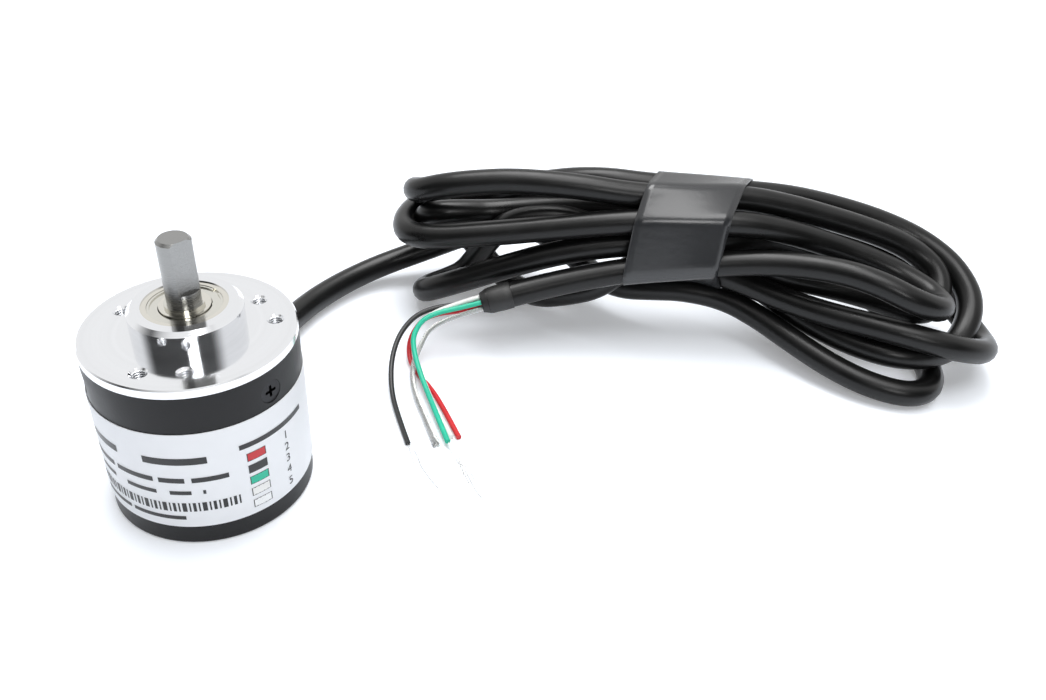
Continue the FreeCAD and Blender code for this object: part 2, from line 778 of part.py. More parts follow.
def make_code_disc():
    radius = number(disc_radius)
    middle = number(track)
    reach = number("Sizes.window_height") / 2
    step = 2 * math.pi / WINDOWS
    half_angle = step * number("Sizes.window_share") / 2
    windows = [window_wire(index * step, middle - reach, middle + reach, half_angle)
               for index in range(WINDOWS)]
    rim = Part.Wire(Part.makeCircle(radius))
    bore = Part.Wire(Part.makeCircle(number(disc_bore)))
    face = Part.makeFace([rim, bore] + windows, "Part::FaceMakerBullseye")
    disc = doc.addObject("Part::Feature", "code_disc")
    disc.Shape = face.extrude(vector(0, 0, number("Sizes.disc_thickness")))
    keep("code_disc", place(disc, z=disc_bottom))

    clamp = ring("disc_clamp_ring", disc_bore, f"{disc_bore} + Sizes.clamp_ring_width",
                 f"{disc_bottom} - Sizes.clamp_ring_thickness", disc_bottom)
    keep("disc_clamp_ring", clamp)


# Light source above the disc, receiver below it

holder_inner = f"({track} - {half('emitter_diameter')} - Sizes.holder_inner_wall)"
holder_outer = f"({track} + {half('emitter_diameter')} + Sizes.holder_outer_wall)"


def holder_screw_x(side):
    return f"{side} * Sizes.holder_screw_spacing / 2"


def holder_screw_thread(side):
    thread = rod(f"holder_thread_{side}", f"{half('holder_screw_diameter')} + Sizes.screw_clearance",
                 spigot_bottom, f"{spigot_bottom} + Sizes.holder_screw_grip + Sizes.screw_tip_space")
    return place(thread, holder_screw_x(side), track)


def holder_screw(label, side, clearance, tip):
    """Cap screw that stands upright in the holder, with its head in a counterbore."""
    shank = f"({half('holder_screw_diameter')} + {clearance})"
    head = f"({half('holder_screw_head')} + {clearance})"
    under_head = f"({holder_bottom} + Sizes.holder_screw_head_height + {clearance})"
    screw = turned(label, [
        ("0", holder_bottom),
        (head, holder_bottom),
        (head, under_head),
        (shank, under_head),
        (shank, tip),
        ("0", tip),
    ])
    return place(screw, holder_screw_x(side), track)


def pin_place(side):
    return f"{side} * Sizes.pin_spacing / 2", f"{track} + Sizes.pin_offset"


def pin(label, side, clearance):
    bottom = f"{board_bottom} - Sizes.pin_stub"
    contact = rod(label, f"{half('pin_diameter')} + {clearance}", bottom,
                  f"{holder_bottom} + Sizes.pin_grip")
    return place(contact, *pin_place(side))


def make_light_source():
    block = box("led_holder_block",
                ("Sizes.holder_length", f"{holder_outer} - {holder_inner}",
                 f"{spigot_bottom} - {holder_bottom}"),
                ("-Sizes.holder_length / 2", holder_inner, holder_bottom))
    emitter_radius = half("emitter_diameter")
    emitter_top = f"{holder_bottom} + Sizes.emitter_height"
    bore = rod("emitter_bore", f"{emitter_radius} + Sizes.emitter_fit", holder_bottom, emitter_top)
    screw_holes = [holder_screw(f"holder_screw_hole_{side}", side, "Sizes.screw_clearance", spigot_bottom)
                   for side in (-1, 1)]
    pin_holes = [pin(f"holder_pin_hole_{side}", side, "Sizes.pin_fit") for side in (-1, 1)]
    tools = [place(bore, y=track)] + screw_holes + pin_holes
    keep("led_holder", cut("led_holder", block, tools))
    keep("led_emitter", place(rod("led_emitter", emitter_radius, holder_bottom, emitter_top), y=track))
    tip = f"{spigot_bottom} + Sizes.holder_screw_grip"
    screws = [holder_screw(f"holder_screw_{side}", side, "0", tip) for side in (-1, 1)]
    keep("led_holder_screws", group("led_holder_screws", screws))
    keep("led_pins", group("led_pins", [pin(f"led_pin_{side}", side, "0") for side in (-1, 1)]))


def make_receiver():
    sensor = box_centred("photo_sensor", ("Sizes.sensor_length", "Sizes.sensor_width",
                                          "Sizes.sensor_height"), "0", track, board_top)
    keep("photo_sensor", sensor)
    mask = box_centred("sensor_mask", ("Sizes.mask_length", "Sizes.mask_width",
                                       "Sizes.mask_thickness"), "0", track, sensor_top)
    keep("sensor_mask", mask)


# Circuit board, its standoffs and the parts on its underside

def standoff_stud_hole(azimuth):
    radius = f"{half('standoff_stud_diameter')} + Sizes.screw_clearance"
    top = f"{spigot_bottom} + Sizes.standoff_stud_length + Sizes.screw_tip_space"
    return place(rod(f"stud_hole_{azimuth}", radius, spigot_bottom, top),
                 *on_circle(standoff_radius, azimuth))


def standoff(azimuth):
    post = half("standoff_diameter")
    stud = half("standoff_stud_diameter")
    thread = f"({half('board_screw_diameter')} + Sizes.screw_clearance)"
    stud_top = f"{spigot_bottom} + Sizes.standoff_stud_length"
    thread_top = f"{board_top} + Sizes.board_screw_grip + Sizes.screw_tip_space"
    body = turned(f"standoff_{azimuth}", [
        (thread, board_top),
        (post, board_top),
        (post, spigot_bottom),
        (stud, spigot_bottom),
        (stud, stud_top),
        ("0", stud_top),
        ("0", thread_top),
        (thread, thread_top),
    ])
    return place(body, *on_circle(standoff_radius, azimuth))


def board_screw(azimuth):
    head = half("board_screw_head")
    shank = half("board_screw_diameter")
    head_bottom = f"{board_bottom} - Sizes.board_screw_head_height"
    tip = f"{board_top} + Sizes.board_screw_grip"
    screw = turned(f"board_screw_{azimuth}", [
        ("0", head_bottom),
        (head, head_bottom),
        (head, board_bottom),
        (shank, board_bottom),
        (shank, tip),
        ("0", tip),
    ])
    return place(screw, *on_circle(standoff_radius, azimuth))


def make_board():
    blank = rod("board_blank", f"{cover_inside} - Sizes.board_gap", board_bottom, board_top)
    holes = []
    for azimuth in STANDOFF_AZIMUTHS:
        hole = rod(f"board_hole_{azimuth}", f"{half('board_screw_diameter')} + Sizes.screw_clearance",
                   board_bottom, board_top)
        holes.append(place(hole, *on_circle(standoff_radius, azimuth)))
    pin_holes = [pin(f"board_pin_hole_{side}", side, "Sizes.pin_fit") for side in (-1, 1)]
    keep("circuit_board", cut("circuit_board", blank, holes + pin_holes))
    keep("board_standoffs", group("board_standoffs", [standoff(a) for a in STANDOFF_AZIMUTHS]))
    keep("board_screws", group("board_screws", [board_screw(a) for a in STANDOFF_AZIMUTHS]))


def chips_under_board(label, kind, places):
    """Chip parts of one kind that hang from the board's underside."""
    size = (f"Sizes.{kind}_length", f"Sizes.{kind}_width", f"Sizes.{kind}_height")
    bottom = f"{board_bottom} - Sizes.{kind}_height"
    blocks = [box_centred(f"{label}_{index}", size, x, y, bottom) for index, (x, y) in enumerate(places)]
    keep(label, group(label, blocks) if len(blocks) > 1 else blocks[0])


def make_board_parts():
    chip_y = "-Sizes.chip_offset"
    beside_chip = "(Sizes.chip_length / 2 + Sizes.capacitor_gap + Sizes.capacitor_length / 2)"
    chips_under_board("signal_chip", "chip", [("0", chip_y)])
    chips_under_board("chip_capacitors", "capacitor", [
        (f"-{beside_chip}", chip_y),
        (beside_chip, chip_y),
    ])
    row = f"({chip_y} - Sizes.chip_width / 2 - Sizes.resistor_gap - Sizes.resistor_width / 2)"
    chips_under_board("chip_resistors", "resistor", [
        (f"{slot} * Sizes.resistor_pitch", row) for slot in RESISTOR_PLACES])


# Cable: gland, tie, and the tubes along their routes

def gland_neck_radius(clearance):
    return f"({cable_radius} + Sizes.cable_fit + Sizes.gland_neck_wall + {clearance})"


def make_gland():
    bore = f"({cable_radius} + Sizes.cable_fit)"
    neck = gland_neck_radius("0")
    bead = f"({bore} + Sizes.gland_bead_wall)"
    outside = f"({body_radius} + Sizes.gland_wall_gap)"
    inside = f"(sqrt({cover_inside} ^ 2 - {bead} ^ 2) - Sizes.gland_wall_gap)"
    bead_length = "Sizes.gland_bead_length"
    gland = turned("cable_gland", [
        (bore, f"{inside} - {bead_length}"),
        (bead, f"{inside} - {bead_length}"),
        (bead, inside),
        (neck, inside),
        (neck, outside),
        (bead, outside),
        (neck, f"{outside} + {bead_length}"),
        (bore, f"{outside} + {bead_length}"),
    ])
    keep("cable_gland", point_outwards(gland, CABLE_AZIMUTH, cable_height))
    tie_outer = f"{bore} + Sizes.tie_wall"
    tie_end = f"({inside} - {bead_length} - Sizes.gland_wall_gap)"
    tie = ring("inner_cable_tie", bore, tie_outer, f"{tie_end} - Sizes.tie_width", tie_end)
    keep("inner_cable_tie", point_outwards(tie, CABLE_AZIMUTH, cable_height))


def route_edges(points):
    """Straight runs joined by the largest tangent arcs that their lengths allow."""
    edges = []
    radii = []
    position = points[0]
    for before, corner, after in zip(points, points[1:], points[2:]):
        incoming = (corner - before).normalize()
        outgoing = (after - corner).normalize()
        turn = incoming.getAngle(outgoing)
        shorter = min((corner - before).Length, (after - corner).Length)
        tangent = ARC_SHARE * shorter
        radii.append(tangent / math.tan(turn / 2))
        start = corner - incoming * tangent
        end = corner + outgoing * tangent
        towards_middle = (outgoing - incoming).normalize()
        sagitta = radii[-1] * (1 / math.cos(turn / 2) - 1)
        edges.append(Part.LineSegment(position, start).toShape())
        edges.append(Part.Arc(start, corner + towards_middle * sagitta, end).toShape())
        position = end
    edges.append(Part.LineSegment(position, points[-1]).toShape())
    return edges, radii


def tube(label, points, diameter):
    """Round cord along a route, with its bend radii and volume printed for comparison."""
    edges, radii = route_edges(points)
    spine = Part.Wire(edges)
    section = Part.Wire(Part.makeCircle(diameter / 2, points[0], points[1] - points[0]))
    solid = spine.makePipeShell([section], True, False)
    expected = math.pi * diameter ** 2 / 4 * spine.Length
    print(f"{label}: length {spine.Length:.1f}, least bend radius {min(radii):.1f},"
          f" volume {solid.Volume:.1f} of {expected:.1f}")
    cord = doc.addObject("Part::Feature", label)
    cord.Shape = solid
    return cord


def make_cable_lead():
    height = number(cable_height)
    diameter = number("Sizes.cable_diameter")
    inner_end = number("Sizes.cable_end_depth")
    leaving = number(body_radius) + inner_end
    points = [vector(0, inner_end, height), vector(0, leaving, height)]
    points += [vector(*point) for point in LEAD_ROUTE]
    keep("cable_lead", tube("cable_lead", points, diameter))


def make_board_leads():
    """Cable cores from the cable's inner end up to a row of pads under the board."""
    height = number(cable_height)
    inner_end = number("Sizes.cable_end_depth")
    ceiling = number(board_bottom)
    middle = (height + ceiling) / 2
    run_end = inner_end - number("Sizes.core_run")
    pad_y = inner_end - number("Sizes.core_reach")
    leads = []
    for slot in CORE_PLACES:
        start_x = slot * number("Sizes.core_spacing")
        pad_x = slot * number("Sizes.core_pad_spacing")
        points = [
            vector(start_x, inner_end, height),
            vector(start_x, run_end, height),
            vector(pad_x, pad_y, middle),
            vector(pad_x, pad_y, ceiling),
        ]
        leads.append(tube(f"board_lead_{slot}", points, number("Sizes.core_diameter")))
    keep("board_leads", group("board_leads", leads))


def make_cable_tail():
    points = [vector(*point) for point in TAIL_ROUTE]
    diameter = number("Sizes.cable_diameter")
    keep("cable_tail", tube("cable_tail", points, diameter))

    end = points[-1]
    along = (end - points[-2]).normalize()
    length = number("Sizes.sleeve_length")
    bore = diameter / 2 + number("Sizes.cable_fit")
    outside = bore + number("Sizes.sleeve_wall")
    start = end - along * (length - number("Sizes.sleeve_overhang"))
    sleeve = doc.addObject("Part::Feature", "tail_sleeve")
    sleeve.Shape = Part.makeCylinder(outside, length, start, along).cut(
        Part.makeCylinder(bore, length, start, along))
    keep("tail_sleeve", sleeve)

    across = along.cross(vector(0, 0, 1)).normalize()
    upward = across.cross(along)
    spread = number(half("wire_circle"))
    wire_diameter = number("Sizes.wire_diameter")
    for index, colour in enumerate(WIRE_COLOURS):
        angle = 2 * math.pi * index / len(WIRE_COLOURS)
        offset = across * (spread * math.cos(angle)) + upward * (spread * math.sin(angle))
        start = end + offset
        points = [start, start + along * number("Sizes.wire_run")]
        points += [vector(*point) for point in WIRE_ROUTES[colour]]
        keep(f"wire_{colour}", tube(f"wire_{colour}", points, wire_diameter))


# Hank: a waist that the tape holds, and an end of loops on either side

def section(x, y, z, half_depth, half_height):
    """Rounded rectangle that stands across the X direction."""
    radius = HANK_ROUNDNESS * min(half_depth, half_height)
    arcs = []
    for quarter, (side_y, side_z) in enumerate(((1, 1), (-1, 1), (-1, -1), (1, -1))):
        middle = vector(x, y + side_y * (half_depth - radius), z + side_z * (half_height - radius))
        angles = [math.pi / 4 * (2 * quarter + step) for step in range(3)]
        arcs.append(Part.Arc(*[middle + vector(0, math.cos(angle), math.sin(angle)) * radius
                               for angle in angles]))
    edges = []
    for arc, following in zip(arcs, arcs[1:] + arcs[:1]):
        edges.append(arc.toShape())
        edges.append(Part.LineSegment(arc.EndPoint, following.StartPoint).toShape())
    return Part.Wire(edges)


def waist_section(x):
    return section(x, WAIST[1], WAIST[2], number(half("waist_depth")), number(half("waist_height")))


def taut_section(x, middles, radius):
    """Outline of a band pulled round circles that stand across the X direction."""
    points = [vector(x, y, z) for y, z in middles]
    lines = []
    for first, second in zip(points, points[1:] + points[:1]):
        along = (second - first).normalize()
        outwards = vector(0, along.z, -along.y) * radius
        lines.append(Part.LineSegment(first + outwards, second + outwards))
    edges = []
    for point, before, line in zip(points, lines[-1:] + lines[:-1], lines):
        outwards = (before.EndPoint - point + line.StartPoint - point).normalize()
        edges.append(Part.Arc(before.EndPoint, point + outwards * radius, line.StartPoint).toShape())
        edges.append(line.toShape())
    return Part.Wire(edges)


def end_sections(name, waist_x, outwards, middle_y):
    """Sections of one end of the hank, from next to the waist out to the tip of the loops."""
    length = number(f"Sizes.{name}_length")
    half_depth = number(half(f"{name}_depth"))
    half_height = number(half(f"{name}_height"))
    middle_z = number("Sizes.hank_floor_gap") + half_height
    sections = []
    for along, share in END_SWELL:
        shift = min(1, along / FULLEST)
        y = WAIST[1] + (middle_y - WAIST[1]) * shift
        z = WAIST[2] + (middle_z - WAIST[2]) * shift
        sections.append(section(waist_x + outwards * length * along, y, z, half_depth * share,
                                half_height * share))
    return sections


def straight_loft(sections):
    """Solid with straight lines from each section to the next."""
    return Part.makeLoft(sections, True, True)


def make_hank():
    reach = number(half("waist_length"))
    left, right = WAIST[0] - reach, WAIST[0] + reach
    sections = end_sections("left_end", left, -1, LEFT_END_Y)[::-1]
    sections += [waist_section(left), waist_section(right)]
    sections += end_sections("right_end", right, 1, RIGHT_END_Y)
    hank = doc.addObject("Part::Feature", "cable_hank")
    hank.Shape = straight_loft(sections)
    keep("cable_hank", hank)


def wrap(growth):
    """Solid inside a band round the outer passes, as far as these are given."""
    radius = number(half("cable_diameter")) + growth
    left, right = zip(*TAPED_PASSES)
    return straight_loft([taut_section(WAIST[0] - PASS_REACH, left, radius),
                          taut_section(WAIST[0] + PASS_REACH, right, radius)])


def make_tape():
    width = number("Sizes.tape_width")
    inside = number("Sizes.tape_gap")
    outside = inside + number("Sizes.tape_thickness")
    breadth = 4 * PASS_REACH
    slab = Part.makeBox(width, breadth, breadth, vector(-width / 2, -breadth / 2, -breadth / 2))
    slab.Placement = FreeCAD.Placement(vector(*WAIST), FreeCAD.Rotation(vector(0, 0, 1), TAPE_TURN))
    tape = doc.addObject("Part::Feature", "hank_tape")
    tape.Shape = wrap(outside).cut(wrap(inside)).common(slab)
    keep("hank_tape", tape)


make_cover_screws()
make_cover()
make_label()
make_flange()
make_bearing("front_bearing", front_bearing_bottom)
make_bearing("rear_bearing", rear_bearing_bottom)
make_bearing_fittings()
make_shaft()
make_disc_hub()
make_code_disc()
make_light_source()
make_receiver()
make_board()
make_board_parts()
make_gland()
make_cable_lead()
make_board_leads()
make_cable_tail()
make_hank()
make_tape()
doc.recompute()

for item in doc.Objects:
    if "Invalid" in item.State or "Error" in item.State:
        raise RuntimeError(f"{item.Label} failed: {item.State}")
for label, item in parts.items():
    if item.Shape.isNull() or not item.Shape.isValid():
        raise RuntimeError(f"{label} has no valid shape")

os.makedirs("parts", exist_ok=True)
for label, item in parts.items():
    item.Shape.exportStep(os.path.join("parts", f"{label}.step"))
print(f"{len(parts)} pieces, mounting face at {number(mounting_face):.2f}")
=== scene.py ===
import json
import math

import bpy
from mathutils import Matrix, Vector
from mathutils.geometry import convex_hull_2d


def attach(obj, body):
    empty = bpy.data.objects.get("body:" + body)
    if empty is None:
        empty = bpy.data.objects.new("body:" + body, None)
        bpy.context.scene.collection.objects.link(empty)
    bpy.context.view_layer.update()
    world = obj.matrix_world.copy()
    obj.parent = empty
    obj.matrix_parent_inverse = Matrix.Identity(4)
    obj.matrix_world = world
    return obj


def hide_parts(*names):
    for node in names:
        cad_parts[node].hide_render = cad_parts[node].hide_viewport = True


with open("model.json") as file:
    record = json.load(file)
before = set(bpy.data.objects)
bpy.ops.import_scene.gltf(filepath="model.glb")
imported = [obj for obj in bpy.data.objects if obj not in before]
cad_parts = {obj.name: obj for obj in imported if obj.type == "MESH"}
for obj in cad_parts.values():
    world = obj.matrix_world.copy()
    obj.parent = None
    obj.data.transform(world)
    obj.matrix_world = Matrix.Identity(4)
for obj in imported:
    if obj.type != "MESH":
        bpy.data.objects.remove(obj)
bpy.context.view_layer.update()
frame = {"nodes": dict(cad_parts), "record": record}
nodes = frame["nodes"]
scene = bpy.context.scene
scene.view_settings.view_transform = "Standard"

# Sizes and points are written in millimetres; Blender's unit is the metre
MM = 0.001
STATOR = "stator"


# Camera fitted to the photograph, with its turns in degrees

IMAGE_WIDTH = 1046
FOCAL_PIXELS = 941.0
SENSOR_WIDTH = 36.0
NEAREST = 10.0
EYE = (59.1, -137.9, 132.6)
YAW, PITCH, ROLL = 0.33, 35.41, 3.56


def add_camera():
    data = bpy.data.cameras.new("camera")
    data.sensor_fit = "HORIZONTAL"
    data.sensor_width = SENSOR_WIDTH
    data.lens = SENSOR_WIDTH * FOCAL_PIXELS / IMAGE_WIDTH
    data.clip_start = NEAREST * MM
    camera = bpy.data.objects.new("camera", data)
    scene.collection.objects.link(camera)
    turn = Matrix.Rotation(math.radians(-YAW), 4, "Z")
    tilt = Matrix.Rotation(math.radians(90 - PITCH), 4, "X")
    roll = Matrix.Rotation(math.radians(ROLL), 4, "Z")
    camera.matrix_world = Matrix.Translation(Vector(EYE) * MM) @ turn @ tilt @ roll
    scene.camera = camera


# Helpers for materials and the world

# Most values of a noise lie between these
NOISE_LOW, NOISE_HIGH = 0.3, 0.7
# Places of the colours among the Mix node's inputs and outputs
MIX_FIRST, MIX_SECOND, MIX_RESULT = 6, 7, 2


class ShaderNodes:
    """Short ways to add nodes to a material or a world."""

    def __init__(self, owner):
        owner.use_nodes = True
        self.tree = owner.node_tree

    def feed(self, socket, value):
        """Give an input a value, or link it to an output."""
        if isinstance(value, bpy.types.NodeSocket):
            self.tree.links.new(value, socket)
        else:
            socket.default_value = value

    def fill(self, made, **inputs):
        """Feed a node's inputs by name, with an underscore for each space."""
        for name, value in inputs.items():
            self.feed(made.inputs[name.replace("_", " ")], value)

    def node(self, kind, settings=None, **inputs):
        made = self.tree.nodes.new(kind)
        for name, value in (settings or {}).items():
            setattr(made, name, value)
        self.fill(made, **inputs)
        return made

    def place(self, kind="Object"):
        return self.node("ShaderNodeTexCoord").outputs[kind]

    def maths(self, operation, *values):
        made = self.node("ShaderNodeMath", {"operation": operation})
        for socket, value in zip(made.inputs, values):
            self.feed(socket, value)
        return made.outputs[0]

    def ranged(self, value, start, end, low, high=1.0, kind="LINEAR"):
        """Map the range from start to end onto the range from low to high."""
        made = self.node("ShaderNodeMapRange", {"interpolation_type": kind}, Value=value,
                         From_Min=start, From_Max=end, To_Min=low, To_Max=high)
        return made.outputs[0]


class Surface(ShaderNodes):
    """A Principled material whose colour, gloss and relief can follow a texture."""

    def __init__(self, name, **constants):
        self.material = bpy.data.materials.new(name)
        super().__init__(self.material)
        self.shader = self.tree.nodes["Principled BSDF"]
        self.fill(self.shader, **constants)

    def noise(self, scale, detail=3.0, vector=None):
        vector = vector or self.place()
        return self.node("ShaderNodeTexNoise", Vector=vector, Scale=scale, Detail=detail).outputs["Fac"]

    def tint(self, factor, colour, limits):
        """Let the colour wander between two factors of itself."""
        dark, light = (shaded(colour, limit) for limit in limits)
        made = self.node("ShaderNodeMix", {"data_type": "RGBA"}, Factor=factor)
        self.feed(made.inputs[MIX_FIRST], dark)
        self.feed(made.inputs[MIX_SECOND], light)
        self.fill(self.shader, Base_Color=made.outputs[MIX_RESULT])

    def gloss(self, factor, roughness, limits):
        """Let the roughness wander between two factors of itself."""
        low, high = (roughness * limit for limit in limits)
        self.fill(self.shader, Roughness=self.ranged(factor, NOISE_LOW, NOISE_HIGH, low, high))

    def relief(self, height, depth):
        bump = self.node("ShaderNodeBump", Height=height, Strength=1.0, Distance=depth * MM)
        self.fill(self.shader, Normal=bump.outputs[0])


def shaded(colour, factor):
    return (*(min(1.0, part * factor) for part in colour), 1)


# Finishes, one for each material slot of the record

# How many grains wide a cloud of shade is, and how many rings of turning a broad one is
CLOUD_GRAINS, BROAD_RINGS = 12, 9
BROAD_DETAIL = 2.0
# Lowest and highest factor of the colour and of the roughness on each kind of surface
MOULDED_GLOSS = (0.85, 1.15)
TURNED_COLOUR, TURNED_GLOSS = (0.94, 1.04), (0.75, 1.25)
PLATED_COLOUR, PLATED_GLOSS = (0.88, 1.1), (0.8, 1.25)
# Copper paths under the board's solder mask: cells in a metre, width in cells, and factors of its colour
PATH_SCALE, PATH_WIDTH = 320.0, 0.03
PATH_COLOUR = 1.9
MASK_COLOURS = (0.8, 1.1)
MASK_GRAIN_SCALE, MASK_RELIEF = 900.0, 0.03
MASK_ROUGHNESS = (0.25, 0.4)


def moulded(name, colour, roughness, grain=0.4, relief=0.01, shade=0.2, **constants):
    """Paint, plastic or rubber: fine grain in its relief and broad clouds in its colour and gloss."""
    surface = Surface(name, **constants)
    fine = surface.noise(1 / (grain * MM))
    cloud = surface.noise(1 / (CLOUD_GRAINS * grain * MM), BROAD_DETAIL)
    surface.tint(cloud, colour, (1 - shade, 1 + shade))
    surface.gloss(cloud, roughness, MOULDED_GLOSS)
    surface.relief(fine, relief)
    return surface.material


def turned(name, colour, roughness, pitch=0.12, relief=0.004):
    """Metal turned or ground about Z: fine rings on its faces and walls."""
    surface = Surface(name, Metallic=1.0)
    x, y, z = surface.node("ShaderNodeSeparateXYZ", Vector=surface.place()).outputs
    squares = [surface.maths("MULTIPLY", part, part) for part in (x, y)]
    radius = surface.maths("SQRT", surface.maths("ADD", *squares))
    rings = surface.node("ShaderNodeCombineXYZ", X=radius, Y=z).outputs[0]
    fine = surface.noise(1 / (pitch * MM), BROAD_DETAIL, rings)
    broad = surface.noise(1 / (BROAD_RINGS * pitch * MM), BROAD_DETAIL, rings)
    surface.tint(broad, colour, TURNED_COLOUR)
    surface.gloss(fine, roughness, TURNED_GLOSS)
    surface.relief(fine, relief)
    return surface.material


def plated(name, colour, roughness, grain=0.25, relief=0.004):
    """Plated or blackened metal with a fine irregular grain."""
    surface = Surface(name, Metallic=1.0)
    fine = surface.noise(1 / (grain * MM))
    surface.tint(fine, colour, PLATED_COLOUR)
    surface.gloss(fine, roughness, PLATED_GLOSS)
    surface.relief(fine, relief)
    return surface.material


def circuit_laminate(name, colour):
    """Solder mask with the faint paths of copper under it."""
    surface = Surface(name)
    dark, light = (shaded(colour, factor) for factor in MASK_COLOURS)
    paths = surface.node("ShaderNodeTexBrick", Vector=surface.place(), Scale=PATH_SCALE, Color1=dark,
                         Color2=light, Mortar=shaded(colour, PATH_COLOUR), Mortar_Size=PATH_WIDTH)
    surface.fill(surface.shader, Base_Color=paths.outputs["Color"])
    surface.gloss(surface.noise(MASK_GRAIN_SCALE), 1.0, MASK_ROUGHNESS)
    surface.relief(paths.outputs["Fac"], MASK_RELIEF)
    return surface.material


materials = {}


def finish(slot, make, colour, **settings):
    materials[slot] = make(slot, colour, **settings)


finish("turned_aluminium", turned, (0.83, 0.84, 0.86), roughness=0.1, relief=0.002)
finish("black_painted_metal", moulded, (0.014, 0.014, 0.015), roughness=0.38, grain=0.5, relief=0.012,
       Specular_IOR_Level=0.22)
finish("label_film", moulded, (0.80, 0.81, 0.83), roughness=0.38, grain=0.3, relief=0.002, shade=0.02)
finish("black_steel", plated, (0.035, 0.035, 0.037), roughness=0.4)
finish("bearing_steel", turned, (0.72, 0.70, 0.64), roughness=0.12)
finish("pressed_steel", turned, (0.66, 0.65, 0.60), roughness=0.2, pitch=0.2)
finish("shaft_steel", turned, (0.29, 0.29, 0.285), roughness=0.26, pitch=0.1, relief=0.002)
finish("etched_steel", turned, (0.60, 0.60, 0.63), roughness=0.3, pitch=0.3)
finish("black_plastic", moulded, (0.03, 0.03, 0.03), roughness=0.5)
finish("clear_resin", moulded, (0.85, 0.88, 0.93), roughness=0.1, grain=0.8, relief=0.004,
       Transmission_Weight=0.8)
finish("mask_glass", moulded, (0.80, 0.86, 0.90), roughness=0.08, grain=0.8, relief=0.002,
       Transmission_Weight=0.85)
finish("brass", turned, (0.72, 0.53, 0.22), roughness=0.25)
finish("tinned_metal", plated, (0.66, 0.66, 0.65), roughness=0.3, grain=0.2)
finish("green_laminate", circuit_laminate, (0.03, 0.2, 0.08))
finish("tan_ceramic", moulded, (0.55, 0.40, 0.23), roughness=0.5, grain=0.15)
finish("dark_ceramic", moulded, (0.05, 0.05, 0.06), roughness=0.35, grain=0.15)
finish("white_plastic", moulded, (0.80, 0.80, 0.78), roughness=0.4, grain=0.5, relief=0.006, shade=0.04)
finish("core_plastic", moulded, (0.42, 0.42, 0.44), roughness=0.4)
finish("cable_rubber", moulded, (0.005, 0.005, 0.005), roughness=0.32, grain=0.6, relief=0.012,
       Specular_IOR_Level=0.32)
finish("grey_tape", moulded, (0.022, 0.023, 0.025), roughness=0.24, grain=1.6, relief=0.03,
       Specular_IOR_Level=0.6)
finish("shrink_sleeve", moulded, (0.012, 0.012, 0.012), roughness=0.5, grain=0.5, relief=0.02)
finish("black_wire", moulded, (0.012, 0.012, 0.013), roughness=0.35)
finish("green_wire", moulded, (0.008, 0.46, 0.29), roughness=0.35, shade=0.1)
finish("red_wire", moulded, (0.55, 0.012, 0.018), roughness=0.35, shade=0.1)


def dress(piece, slot):
    piece.data.materials.clear()
    piece.data.materials.append(materials[slot])


def add_piece(name, data, slot, *replaced):
    """A piece fixed to the housing, with the finish of a slot, in place of CAD nodes."""
    piece = bpy.data.objects.new(name, data)
    scene.collection.objects.link(piece)
    dress(piece, slot)
    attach(piece, STATOR)
    if replaced:
        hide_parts(*replaced)
    return piece


# Helpers for lines, tubes and bands

# Steps between the control points of a cord, and how round the sections of cords and strands are
LINE_STEPS = 10
CORD_ROUNDNESS, STRAND_ROUNDNESS = 6, 1


def polar(radius, angle, height):
    return Vector((radius * math.cos(angle), radius * math.sin(angle), height))


def polyline_length(points):
    return sum((b - a).length for a, b in zip(points, points[1:]))


def round_curve(name, diameter, roundness):
    """A curve with a round section and no line yet."""
    data = bpy.data.curves.new(name, "CURVE")
    data.dimensions = "3D"
    data.bevel_depth = diameter / 2 * MM
    data.bevel_resolution = roundness
    return data


def add_line(data, kind, points):
    line = data.splines.new(kind)
    line.points.add(len(points) - 1)
    for control, point in zip(line.points, points):
        control.co = (*(Vector(point) * MM), 1)
    return line


def smooth_curve(name, points, diameter):
    """Round cord on one NURBS line with these control points."""
    data = round_curve(name, diameter, CORD_ROUNDNESS)
    line = add_line(data, "NURBS", points)
    line.order_u = 3
    line.use_endpoint_u = True
    line.resolution_u = LINE_STEPS
    data.use_fill_caps = True
    return data


def mesh_of(data):
    """Mesh of a curve or text."""
    holder = bpy.data.objects.new("holder", data)
    mesh = bpy.data.meshes.new_from_object(holder)
    bpy.data.objects.remove(holder)
    return mesh


def line_of(data):
    """Points along a cord's own line, in millimetres."""
    bare = data.copy()
    bare.bevel_depth = 0
    return [vertex.co / MM for vertex in mesh_of(bare).vertices]


def tubes(name, lines, diameter):
    """Mesh of thin round tubes along lines of points."""
    data = round_curve(name, diameter, STRAND_ROUNDNESS)
    for points in lines:
        add_line(data, "POLY", points)
    mesh = mesh_of(data)
    mesh.name = name
    mesh.shade_smooth()
    return mesh


def ring_mesh(name, rings):
    """Smooth band through closed rings that have the same number of points."""
    count = len(rings[0])
    faces = []
    for row in range(len(rings) - 1):
        first, second = row * count, (row + 1) * count
        for step in range(count):
            after = (step + 1) % count
            faces.append((first + step, second + step, second + after, first + after))
    mesh = bpy.data.meshes.new(name)
    mesh.from_pydata([point * MM for ring in rings for point in ring], [], faces)
    mesh.shade_smooth()
    return mesh


# The cable: one smooth line from the gland through every pass and bend of the hank to the bare wires

CABLE_DIAMETER = 6.0

